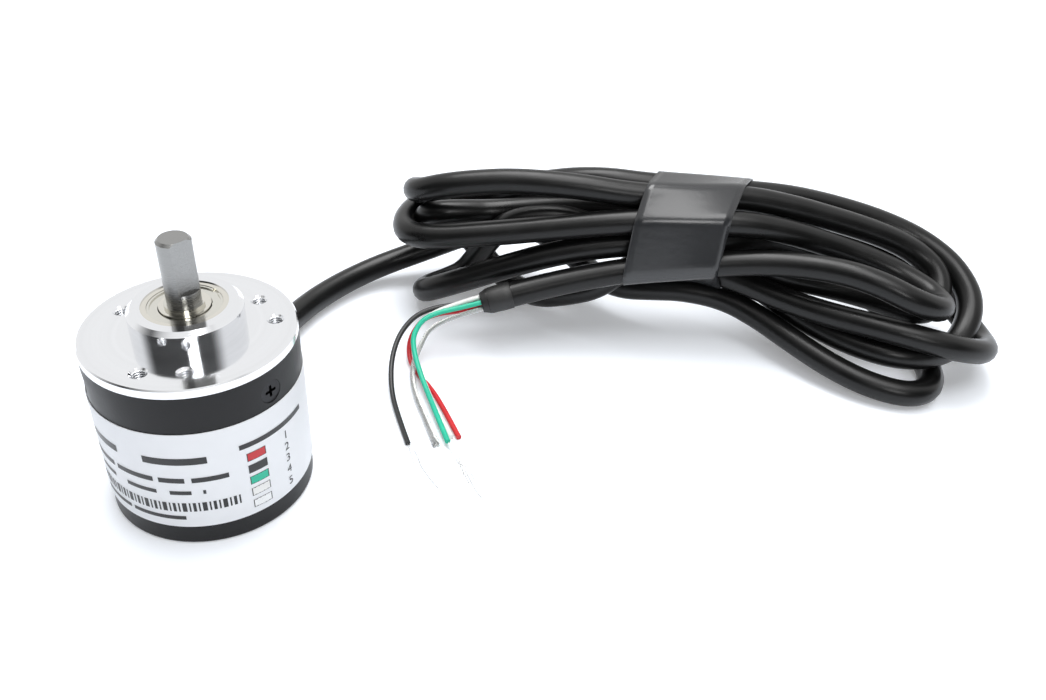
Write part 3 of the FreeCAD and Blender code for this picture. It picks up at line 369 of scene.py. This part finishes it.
LEAD = [
    (0, 9.5, 7.4), (0, 28.5, 7.4), (2.5, 48, 3.7), (8.5, 62.8, 3.5), (19.2, 75.5, 4.4), (34, 82, 8),
    (44, 85.2, 11.2), (54, 86, 13.6), (63.5, 83, 14.6), (71, 77, 12), (77.5, 70.8, 9), (84, 66, 8.8),
    (92, 63.8, 10.4), (99, 62.8, 11.3), (109, 61.2, 10.5),
]
FLOOR_BEND = [
    (117, 56.5, 8.7), (124.5, 49, 7), (132.5, 41.8, 5.3), (141, 36.8, 4), (149.5, 35, 3.3),
    (155, 38, 3.1), (157.6, 45, 3.1), (157, 53, 3.4), (154, 61, 5.5), (146, 66.5, 11.5),
    (132, 66.5, 21), (117, 64.5, 26.3), (108, 60.5, 27.3),
]
LOW_LEFT_BEND = [
    (99, 59, 26.5), (82, 58.3, 25.6), (67.5, 57.8, 22.6), (55, 58.1, 17.6), (46, 59, 13.2),
    (39, 60.3, 9.6), (34.8, 63.2, 6.3), (33.8, 67.5, 4), (35.8, 71.6, 3.2), (39.2, 74, 3.4),
    (43.6, 74.4, 5.8), (47, 72.6, 11.6), (50.8, 67.5, 20.5), (55.3, 63, 27.2), (66, 62.6, 29.8),
    (76, 63.3, 27), (84, 64.6, 24.9),
]
INNER_RIGHT_BEND = [
    (99, 64.6, 25), (111, 63.6, 22), (121, 60, 18.5), (132, 56.5, 18.5), (143, 54.5, 17),
    (151.5, 53.2, 14.6), (157, 54.5, 14.2), (160, 58.5, 16.4), (160, 63, 19.8), (156, 66.3, 22.8),
    (149.5, 67.5, 25.8), (141, 67.5, 28.6), (131.5, 67, 31.2), (122, 66.3, 33.7), (110.4, 65.3, 35.9),
]
TOP_LEFT_BEND = [
    (99, 62.8, 36.3), (84.4, 61, 36.8), (70, 61, 38.4), (56, 61.8, 38.4), (46.5, 62, 37.2),
    (39.5, 62.3, 35.8), (34, 64, 33.4), (31.6, 68.6, 31.4), (32.8, 74.2, 28.6), (36.4, 78.2, 23.8),
    (41, 80.2, 17), (46.5, 80, 10.2), (52, 76.5, 5.8), (57.2, 71, 4.2), (63.5, 66.2, 4.5),
    (70.5, 64, 7.2), (77.2, 63.2, 9.8), (82.4, 63.6, 14), (88.5, 64.4, 18.2),
]
FAR_RIGHT_BEND = [
    (99, 62.8, 18.6), (111, 60.5, 16.5), (122.5, 54, 15), (132, 47.5, 15.6), (141, 43, 16.2),
    (151, 40, 15.4), (159.5, 39.8, 13.5), (168.5, 44.5, 10), (171.5, 54, 7), (168.5, 65, 9),
    (159, 73.5, 15.5), (145, 78, 21), (131, 77.5, 25.4), (114, 69.6, 29),
]
INNER_LEFT_BEND = [
    (99, 65.4, 30.6), (86, 64.8, 31), (75, 66.8, 30.8), (63, 69, 28.3), (51, 69.2, 26.3),
    (43.5, 66.6, 27.2), (37.6, 65.3, 27.2), (34.6, 67.5, 25.2), (34.6, 70.7, 22.4), (37.8, 73, 20.4),
    (47.5, 75, 20.2), (58, 75.6, 20.2), (70, 73.6, 22), (84, 70.4, 24.4),
]
TOP_RIGHT_BEND = [
    (99, 69, 21.4), (110, 66.8, 17.5), (120, 60.5, 12.2), (129, 52, 10.2), (138, 45, 9.6),
    (147.5, 41.5, 9.2), (156, 43.5, 8.8), (163.5, 48.5, 9.5), (168, 56.5, 15.5), (165, 65.5, 20.5),
    (157, 72, 24.4), (146, 74.6, 27.7), (133.7, 74.6, 30.7), (122.5, 72.6, 33.4), (110.4, 71, 34.6),
]
FRONT_LEFT_BEND = [
    (99, 68.7, 35.9), (88, 67.4, 36.6), (75.8, 68.2, 37.2), (64.2, 71.6, 34.2), (54.5, 78, 28),
    (46, 83, 23.2), (37.5, 84.8, 21.4), (31.6, 80.2, 21.7), (29.5, 72, 22.8), (29.6, 64, 23.2),
    (33, 58.9, 24), (40.5, 57.6, 25), (47.5, 57.4, 26.2), (55, 57.4, 27.3), (66, 57.2, 29.3),
    (77, 57.2, 31.2), (88, 57.2, 32.4),
]
FRONT_RIGHT_BEND = [
    (99, 57.6, 32.6), (109, 58.2, 32.8), (120, 59.5, 30.8), (131.9, 61, 27), (142, 60.5, 24),
    (150, 58.5, 21.3), (155.2, 54, 19.7), (156.5, 48.3, 19.7), (153.5, 43.8, 21.2), (147, 42.5, 23.8),
    (140, 44.8, 26.2), (133, 48, 27), (125, 51.6, 26.2), (116, 53.9, 25.2), (105.5, 54.9, 23.7),
]
TAIL = [
    (95, 54.7, 22.2), (85, 54.3, 21), (76, 53.6, 19.2), (63, 51.8, 16.2), (51, 49.3, 13),
]
CABLE_ROUTE = [
    *LEAD, *FLOOR_BEND, *LOW_LEFT_BEND, *INNER_RIGHT_BEND, *TOP_LEFT_BEND, *FAR_RIGHT_BEND,
    *INNER_LEFT_BEND, *TOP_RIGHT_BEND, *FRONT_LEFT_BEND, *FRONT_RIGHT_BEND, *TAIL,
]

# The cable's end, the way it points there, and two directions across it
CABLE_END = Vector(TAIL[-1])
ALONG = (CABLE_END - Vector(TAIL[-2])).normalized()
ACROSS = Vector((ALONG.y, -ALONG.x, 0)).normalized()
UPWARD = ACROSS.cross(ALONG)


def around_end(angle):
    """Direction away from the cable's line at its end."""
    return ACROSS * math.cos(angle) + UPWARD * math.sin(angle)


# Shrunk sleeve on the cable's end

# Distance beyond the cable's end and radius, from the inside round the mouth to the rear edge
SLEEVE_PROFILE = [
    (0.3, 2.2), (1.4, 2.15), (1.4, 2.35), (0.9, 2.5), (0.1, 2.85), (-0.8, 3.1), (-2, 3.16), (-4, 3.22),
    (-5.8, 3.2), (-6, 3.04),
]
SLEEVE_SIDES = 40


def add_sleeve():
    angles = [math.tau * step / SLEEVE_SIDES for step in range(SLEEVE_SIDES)]
    rings = []
    for beyond, radius in SLEEVE_PROFILE:
        centre = CABLE_END + ALONG * beyond
        rings.append([centre + around_end(angle) * radius for angle in angles])
    return add_piece("shrunk_sleeve", ring_mesh("shrunk_sleeve", rings), "shrink_sleeve", "tail_sleeve")


# Tape round the hank's waist

TAPE_START, TAPE_END = 85.25, 106.95
TAPE_STEPS = 12
# How far the tape slants along the hank for each millimetre of depth, and the depth where it is in place
TAPE_SLANT, TAPE_MIDDLE = 0.42, 58.0
TAPE_GAP = 0.1
TAPE_THICKNESS = 0.4
TAPE_LOWEST = 15.0
PASS_POINTS, RING_POINTS = 48, 96


def slant(depth):
    return TAPE_SLANT * (depth - TAPE_MIDDLE)


def crossings(line, station):
    """The cable's passes through one slanted plane, without the pass below the tape."""
    found = []
    for first, second in zip(line, line[1:]):
        a, b = (point.x - slant(point.y) - station for point in (first, second))
        if a * b < 0:
            point = first.lerp(second, a / (a - b))
            if point.z > TAPE_LOWEST:
                found.append(point)
    return found


def taut_ring(centres):
    """Outline of a band pulled round the passes, as points at even distances from its top."""
    radius = CABLE_DIAMETER / 2 + TAPE_GAP + TAPE_THICKNESS / 2
    rim = []
    for centre in centres:
        for step in range(PASS_POINTS):
            angle = math.tau * step / PASS_POINTS
            rim.append((centre.y + radius * math.cos(angle), centre.z + radius * math.sin(angle)))
    outline = [Vector(rim[index]) for index in convex_hull_2d(rim)]
    top = max(range(len(outline)), key=lambda index: outline[index].y)
    outline = outline[top:] + outline[:top + 1]
    total = polyline_length(outline)
    ring = []
    walked, index = 0.0, 0
    side = outline[1] - outline[0]
    for step in range(RING_POINTS):
        goal = total * step / RING_POINTS
        while walked + side.length < goal:
            walked += side.length
            index += 1
            side = outline[index + 1] - outline[index]
        ring.append(outline[index] + side * ((goal - walked) / side.length))
    return ring


def add_tape(line):
    rings = []
    for row in range(TAPE_STEPS + 1):
        station = TAPE_START + (TAPE_END - TAPE_START) * row / TAPE_STEPS
        outline = taut_ring(crossings(line, station))
        rings.append([Vector((station + slant(y), y, z)) for y, z in outline])
    tape = add_piece("tape_band", ring_mesh("tape_band", rings), "grey_tape", "hank_tape")
    thick = tape.modifiers.new("thickness", "SOLIDIFY")
    thick.thickness = TAPE_THICKNESS * MM
    thick.offset = 0
    return tape


# Stripped wires at the cable's far end

WIRE_DIAMETER = 1.2
# Distance of the wires from the cable's line where they leave it, and how far they run straight on
WIRE_SPREAD = 1.45
WIRE_RUN = 4.8
# Degrees round the cable's end, finish, and control points after the straight run
WIRES = {
    "wire_black": (0, "black_wire", [
        (36, 48, 10.5), (31.4, 43.4, 7.5), (29.9, 36.7, 4), (31.1, 27.8, 1.4), (34.1, 19, 0.7),
        (37, 11.4, 0.7),
    ]),
    "wire_white": (72, "white_plastic", [
        (37.1, 46.4, 10), (34.3, 42.9, 7.1), (34.8, 39.3, 4.6), (37.2, 33.1, 2.3), (41, 24.4, 0.7),
        (45.9, 14.2, 0.7),
    ]),
    "wire_green": (144, "green_wire", [
        (37.3, 44.7, 11.2), (34.5, 41.2, 8.3), (35, 37.6, 5.8), (37.4, 31.4, 3.5), (41, 22.8, 2.1),
        (45.4, 11.6, 1.6),
    ]),
    "wire_shield": (216, "tinned_metal", [
        (38.2, 45, 8), (35.9, 41.2, 4.2), (34.6, 36, 1.6), (36.2, 28.5, 0.7), (40.2, 18.6, 0.7),
        (43, 11.4, 0.7),
    ]),
    "wire_red": (288, "red_wire", [
        (36.7, 48.3, 8.8), (33.2, 44.6, 4.8), (33.4, 40.6, 1.2), (36.3, 35.2, 0.7), (40, 30.2, 0.7),
        (43.8, 22.6, 0.7), (47.5, 14.2, 0.7),
    ]),
}
# The shield wire's twisted strands, and how much wider their bundle opens at its end
SHIELD_STRANDS, SHIELD_STRAND_DIAMETER = 9, 0.26
SHIELD_PITCH = 6.0
SHIELD_LOOSE = 0.7
# Tinned strands that stand out of the ends of two wires
BARE_STRAND_DIAMETER = 0.16
BARE_STRANDS = {
    "wire_black": [
        [(36.6, 12.4, 0.7), (38.2, 10.4, 0.5), (39.3, 8.3, 0.3), (40.5, 5.2, 0.3), (42.5, 1.9, 0.2),
         (44.6, -0.8, 0.1)],
        [(36.6, 12.4, 0.6), (37.5, 10, 0.4), (38.3, 7.9, 0.2), (39.1, 5.5, 0.1)],
    ],
    "wire_green": [
        [(45.2, 12.2, 1.6), (46.9, 9.6, 0.9), (48.4, 6.6, 0.5), (49.3, 4, 0.3), (49.4, -0.1, 0.1)],
        [(45.2, 12.2, 1.5), (47.1, 9.3, 0.8), (48.7, 6.3, 0.5), (50.7, 2.3, 0.3), (52.2, -1, 0.2),
         (53.9, -3.5, 0.1)],
        [(45.3, 12.2, 1.4), (47, 9.4, 0.9), (48.6, 6.9, 0.7), (51.2, 3.2, 0.4), (52.8, -0.1, 0.1)],
        [(45.2, 12.2, 1.6), (46.7, 9.2, 0.7), (48.3, 6.4, 0.3), (49.9, 2.8, 0.2), (50.9, 0.6, 0.1)],
    ],
}


def wire_route(degrees, rest):
    start = CABLE_END + around_end(math.radians(degrees)) * WIRE_SPREAD
    return [start, start + ALONG * WIRE_RUN, *(Vector(point) for point in rest)]


def twisted(points):
    """Lines that wind round a line of points and open towards its end."""
    lines = [[] for strand in range(SHIELD_STRANDS)]
    bundle = (WIRE_DIAMETER - SHIELD_STRAND_DIAMETER) / 2
    walked, total = 0.0, polyline_length(points)
    for index, point in enumerate(points):
        before = points[max(index - 1, 0)]
        after = points[min(index + 1, len(points) - 1)]
        along = (after - before).normalized()
        side = along.cross(Vector((0, 0, 1))).normalized()
        upward = side.cross(along)
        walked += (point - before).length
        reach = bundle * (1 + SHIELD_LOOSE * (walked / total) ** 3)
        for strand, line in enumerate(lines):
            angle = math.tau * (walked / SHIELD_PITCH + strand / SHIELD_STRANDS)
            spot = point + (side * math.cos(angle) + upward * math.sin(angle)) * reach
            spot.z = max(spot.z, SHIELD_STRAND_DIAMETER / 2)
            line.append(spot)
    return lines


def add_wire(name, degrees, slot, rest):
    route = wire_route(degrees, rest)
    data = smooth_curve(name + "_lead", route, WIRE_DIAMETER)
    line = line_of(data)
    if name == "wire_shield":
        data = tubes(name + "_lead", twisted(line), SHIELD_STRAND_DIAMETER)
    if name in BARE_STRANDS:
        strands = tubes(name + "_strands", BARE_STRANDS[name], BARE_STRAND_DIAMETER)
        add_piece(name + "_strands", strands, "tinned_metal")
    add_piece(name + "_lead", data, slot, name)


def add_cords():
    data = smooth_curve("cable", CABLE_ROUTE, CABLE_DIAMETER)
    cable = add_piece("cable", data, "cable_rubber", "cable_lead", "cable_hank", "cable_tail")
    on_cable = [nodes["cable_gland"], add_sleeve(), add_tape(line_of(data))]
    for name, (degrees, slot, rest) in WIRES.items():
        add_wire(name, degrees, slot, rest)


# Print on the label: plain bars, stripes, colour patches and numbers

# The print lies just outside the film and is bent round it in steps of at most this length
PRINT_RADIUS = 19.22
PRINT_STEP = 0.8
FRONT = math.radians(270)
# Height of each row's middle, height of its bars, and where each bar starts and ends along the label
PRINT_ROWS = [
    (20.2, 1.5, [(-18.2, -10.2), (-4.6, 6.6)]),
    (15.8, 1.1, [(-19.2, -12.2), (-11.2, -3.4), (-2.4, 2.2), (3.4, 9.8)]),
    (12.9, 0.9, [(-17.6, -12.6), (-9.4, -3.2), (-0.8, 3), (5, 5.5)]),
    (6.8, 0.9, [(-18, -10), (-9.2, 1.2)]),
    (20.9, 1.1, [(12.2, 27.4)]),
]
STRIPES_START, STRIPES_END = -19.2, 11.2
STRIPE_HEIGHT, STRIPE_MIDDLE = 2.1, 9.4
STRIPE_WIDTHS = (0.3, 0.55, 0.3, 0.8)
STRIPE_GAP = 0.4
# Finish of the patch in each row of the table, and the height of the row's middle
TABLE = {
    "red_wire": 18.1, "black_wire": 15.3, "green_wire": 12.6, "white_plastic": 9.8, "tinned_metal": 6.9,
}
PATCH_START, PATCH_END = 13.4, 17.0
PATCH_HEIGHT, PATCH_EDGE = 1.7, 0.18
NUMBER_PLACE, NUMBER_HEIGHT = 22.0, 2.6


def on_label(along, height):
    return polar(PRINT_RADIUS, FRONT + along / PRINT_RADIUS, height) * MM


def add_print(name, bars, slot, marks=()):
    """Thin patches on the label, and marks that are flat meshes bent round it."""
    vertices, faces = [], []
    for start, end, middle, height in bars:
        steps = max(1, math.ceil((end - start) / PRINT_STEP))
        for step in range(steps + 1):
            along = start + (end - start) * step / steps
            vertices += [on_label(along, middle - height / 2), on_label(along, middle + height / 2)]
            if step:
                last = len(vertices) - 1
                faces.append((last - 3, last - 1, last, last - 2))
    for mark, place, middle in marks:
        first = len(vertices)
        vertices += [on_label(place + corner.co.x, middle + corner.co.y) for corner in mark.vertices]
        faces += [tuple(first + index for index in face.vertices) for face in mark.polygons]
    mesh = bpy.data.meshes.new(name)
    mesh.from_pydata(vertices, [], faces)
    add_piece(name, mesh, slot)


def number_mesh(number):
    data = bpy.data.curves.new("number", "FONT")
    data.body = str(number)
    data.size = NUMBER_HEIGHT
    data.align_x = "CENTER"
    data.align_y = "CENTER"
    return mesh_of(data)


def label_bars():
    """Bars of the printed rows, and a row of stripes."""
    bars = [(start, end, middle, height) for middle, height, row in PRINT_ROWS for start, end in row]
    place, count = STRIPES_START, 0
    while place < STRIPES_END:
        width = STRIPE_WIDTHS[count % len(STRIPE_WIDTHS)]
        bars.append((place, place + width, STRIPE_MIDDLE, STRIPE_HEIGHT))
        place += width + STRIPE_GAP
        count += 1
    return bars


def patch_edges():
    """Thin bars round each colour patch."""
    edge = PATCH_EDGE / 2
    bars = []
    for middle in TABLE.values():
        for height in (middle + PATCH_HEIGHT / 2, middle - PATCH_HEIGHT / 2):
            bars.append((PATCH_START - edge, PATCH_END + edge, height, PATCH_EDGE))
        for place in (PATCH_START, PATCH_END):
            bars.append((place - edge, place + edge, middle, PATCH_HEIGHT))
    return bars


def add_label_print():
    numbers = [(number_mesh(row + 1), NUMBER_PLACE, height) for row, height in enumerate(TABLE.values())]
    add_print("label_ink", label_bars(), "black_wire", numbers)
    for slot, height in TABLE.items():
        add_print("label_patch_" + slot, [(PATCH_START, PATCH_END, height, PATCH_HEIGHT)], slot)
    add_print("label_patch_edges", patch_edges(), "black_wire")


# Threads in the tapped holes of the mounting face

# Distance from the shaft's line and degrees round it
HOLES = [(14, 45), (14, 165), (14, 285), (15, 15), (15, 135), (15, 255)]
THREAD_TOP, THREAD_DEPTH = 35.2, 4.5
THREAD_RADIUS, THREAD_PITCH, THREAD_WIRE = 1.24, 0.5, 0.24
THREAD_SIDES = 20


def thread_line(distance, degrees):
    middle = polar(distance, math.radians(degrees), THREAD_TOP)
    line = []
    for step in range(int(THREAD_DEPTH / THREAD_PITCH * THREAD_SIDES)):
        turns = step / THREAD_SIDES
        line.append(middle + polar(THREAD_RADIUS, math.tau * turns, -THREAD_PITCH * turns))
    return line


def add_threads():
    lines = [thread_line(distance, degrees) for distance, degrees in HOLES]
    add_piece("hole_threads", tubes("hole_threads", lines, THREAD_WIRE), "turned_aluminium")


# Floor, world and lamps, with places and sizes in metres

WHITE = (1, 1, 1, 1)
FLOOR_REACH = 2.0
FLOOR_COLOUR = (0.83, 0.87, 0.93, 1)
FLOOR_ROUGHNESS, FLOOR_SPECULAR = 0.6, 0.2
# Glow of the floor near the object, and the distances between which it grows to plain white
FLOOR_GLOW = 0.22
FLOOR_SHADED, FLOOR_WHITE = 0.3, 0.7
# Strength of the world on matt surfaces, and of the dim front that mirrors see
SOFT_LIGHT = 0.38
FRONT_DIM = 0.05
# White that mirrors see: how far the back leans over, and how high and how sharply the ceiling starts
BACK_LEAN = 0.35
CEILING_HEIGHT, CEILING_SHARPNESS = 0.7, 2.0
# Half the width of the soft edge between white and dim
SOFT_EDGE = 0.25
# Place, aim, diameter and watts of each lamp
LAMPS = {
    "overhead": ((0.0, 0.25, 0.75), (0.08, 0.04, 0), 0.5, 5.0),
    "front_top": ((0.2, -0.15, 0.8), (0.08, 0.04, 0), 0.5, 3.0),
    "front_fill": ((0.29, -0.69, 0.5), (0.06, 0, 0.02), 0.25, 1.2),
}


def floor_material():
    """A floor that keeps the shadow near the object and fades to white further out."""
    floor = Surface("white_floor", Base_Color=FLOOR_COLOUR, Roughness=FLOOR_ROUGHNESS,
                    Specular_IOR_Level=FLOOR_SPECULAR, Emission_Color=WHITE)
    distance = floor.node("ShaderNodeVectorMath", {"operation": "LENGTH"}, Vector=floor.place())
    glow = floor.ranged(distance.outputs["Value"], FLOOR_SHADED, FLOOR_WHITE, FLOOR_GLOW)
    rays = floor.node("ShaderNodeLightPath").outputs
    seen = floor.maths("MAXIMUM", rays["Is Camera Ray"], rays["Is Glossy Ray"])
    seen = floor.maths("MAXIMUM", seen, rays["Is Transmission Ray"])
    floor.fill(floor.shader, Emission_Strength=floor.maths("MULTIPLY", seen, glow))
    return floor.material


def add_stage():
    far = FLOOR_REACH
    mesh = bpy.data.meshes.new("floor")
    mesh.from_pydata([(-far, -far, 0), (far, -far, 0), (far, far, 0), (-far, far, 0)], [], [(0, 1, 2, 3)])
    floor = bpy.data.objects.new("floor", mesh)
    scene.collection.objects.link(floor)
    floor.data.materials.append(floor_material())


def add_world():
    """White where it is seen; mirrors see a white back and ceiling and a dim front."""
    world = bpy.data.worlds.new("studio")
    scene.world = world
    sky = ShaderNodes(world)
    direction = sky.node("ShaderNodeSeparateXYZ", Vector=sky.place("Generated")).outputs
    from_back = sky.maths("MULTIPLY_ADD", direction["Z"], BACK_LEAN, direction["Y"])
    from_above = sky.maths("MULTIPLY_ADD", direction["Z"], CEILING_SHARPNESS,
                           -CEILING_SHARPNESS * CEILING_HEIGHT)
    lit = sky.ranged(sky.maths("MAXIMUM", from_back, from_above), -SOFT_EDGE, SOFT_EDGE, FRONT_DIM,
                     kind="SMOOTHSTEP")
    rays = sky.node("ShaderNodeLightPath").outputs
    seen = sky.maths("MAXIMUM", rays["Is Camera Ray"], rays["Is Transmission Ray"])
    soft = sky.maths("MULTIPLY", sky.maths("SUBTRACT", 1.0, rays["Is Glossy Ray"]), SOFT_LIGHT)
    glossy = sky.maths("MULTIPLY", lit, rays["Is Glossy Ray"])
    strength = sky.maths("MAXIMUM", seen, sky.maths("MAXIMUM", soft, glossy))
    sky.fill(sky.tree.nodes["Background"], Color=WHITE, Strength=strength)


def add_lamp(name, place, aim, size, watts):
    data = bpy.data.lights.new(name, "AREA")
    data.shape = "DISK"
    data.size = size
    data.energy = watts
    lamp = bpy.data.objects.new(name, data)
    scene.collection.objects.link(lamp)
    lamp.location = place
    lamp.rotation_euler = (Vector(aim) - Vector(place)).to_track_quat("-Z", "Y").to_euler()


for entry in frame["record"]["subparts"]:
    dress(nodes[entry["node"]], entry["material_slot"])

add_camera()
add_cords()
add_label_print()
add_threads()
add_stage()
add_world()
for lamp_name, lamp_settings in LAMPS.items():
    add_lamp(lamp_name, *lamp_settings)
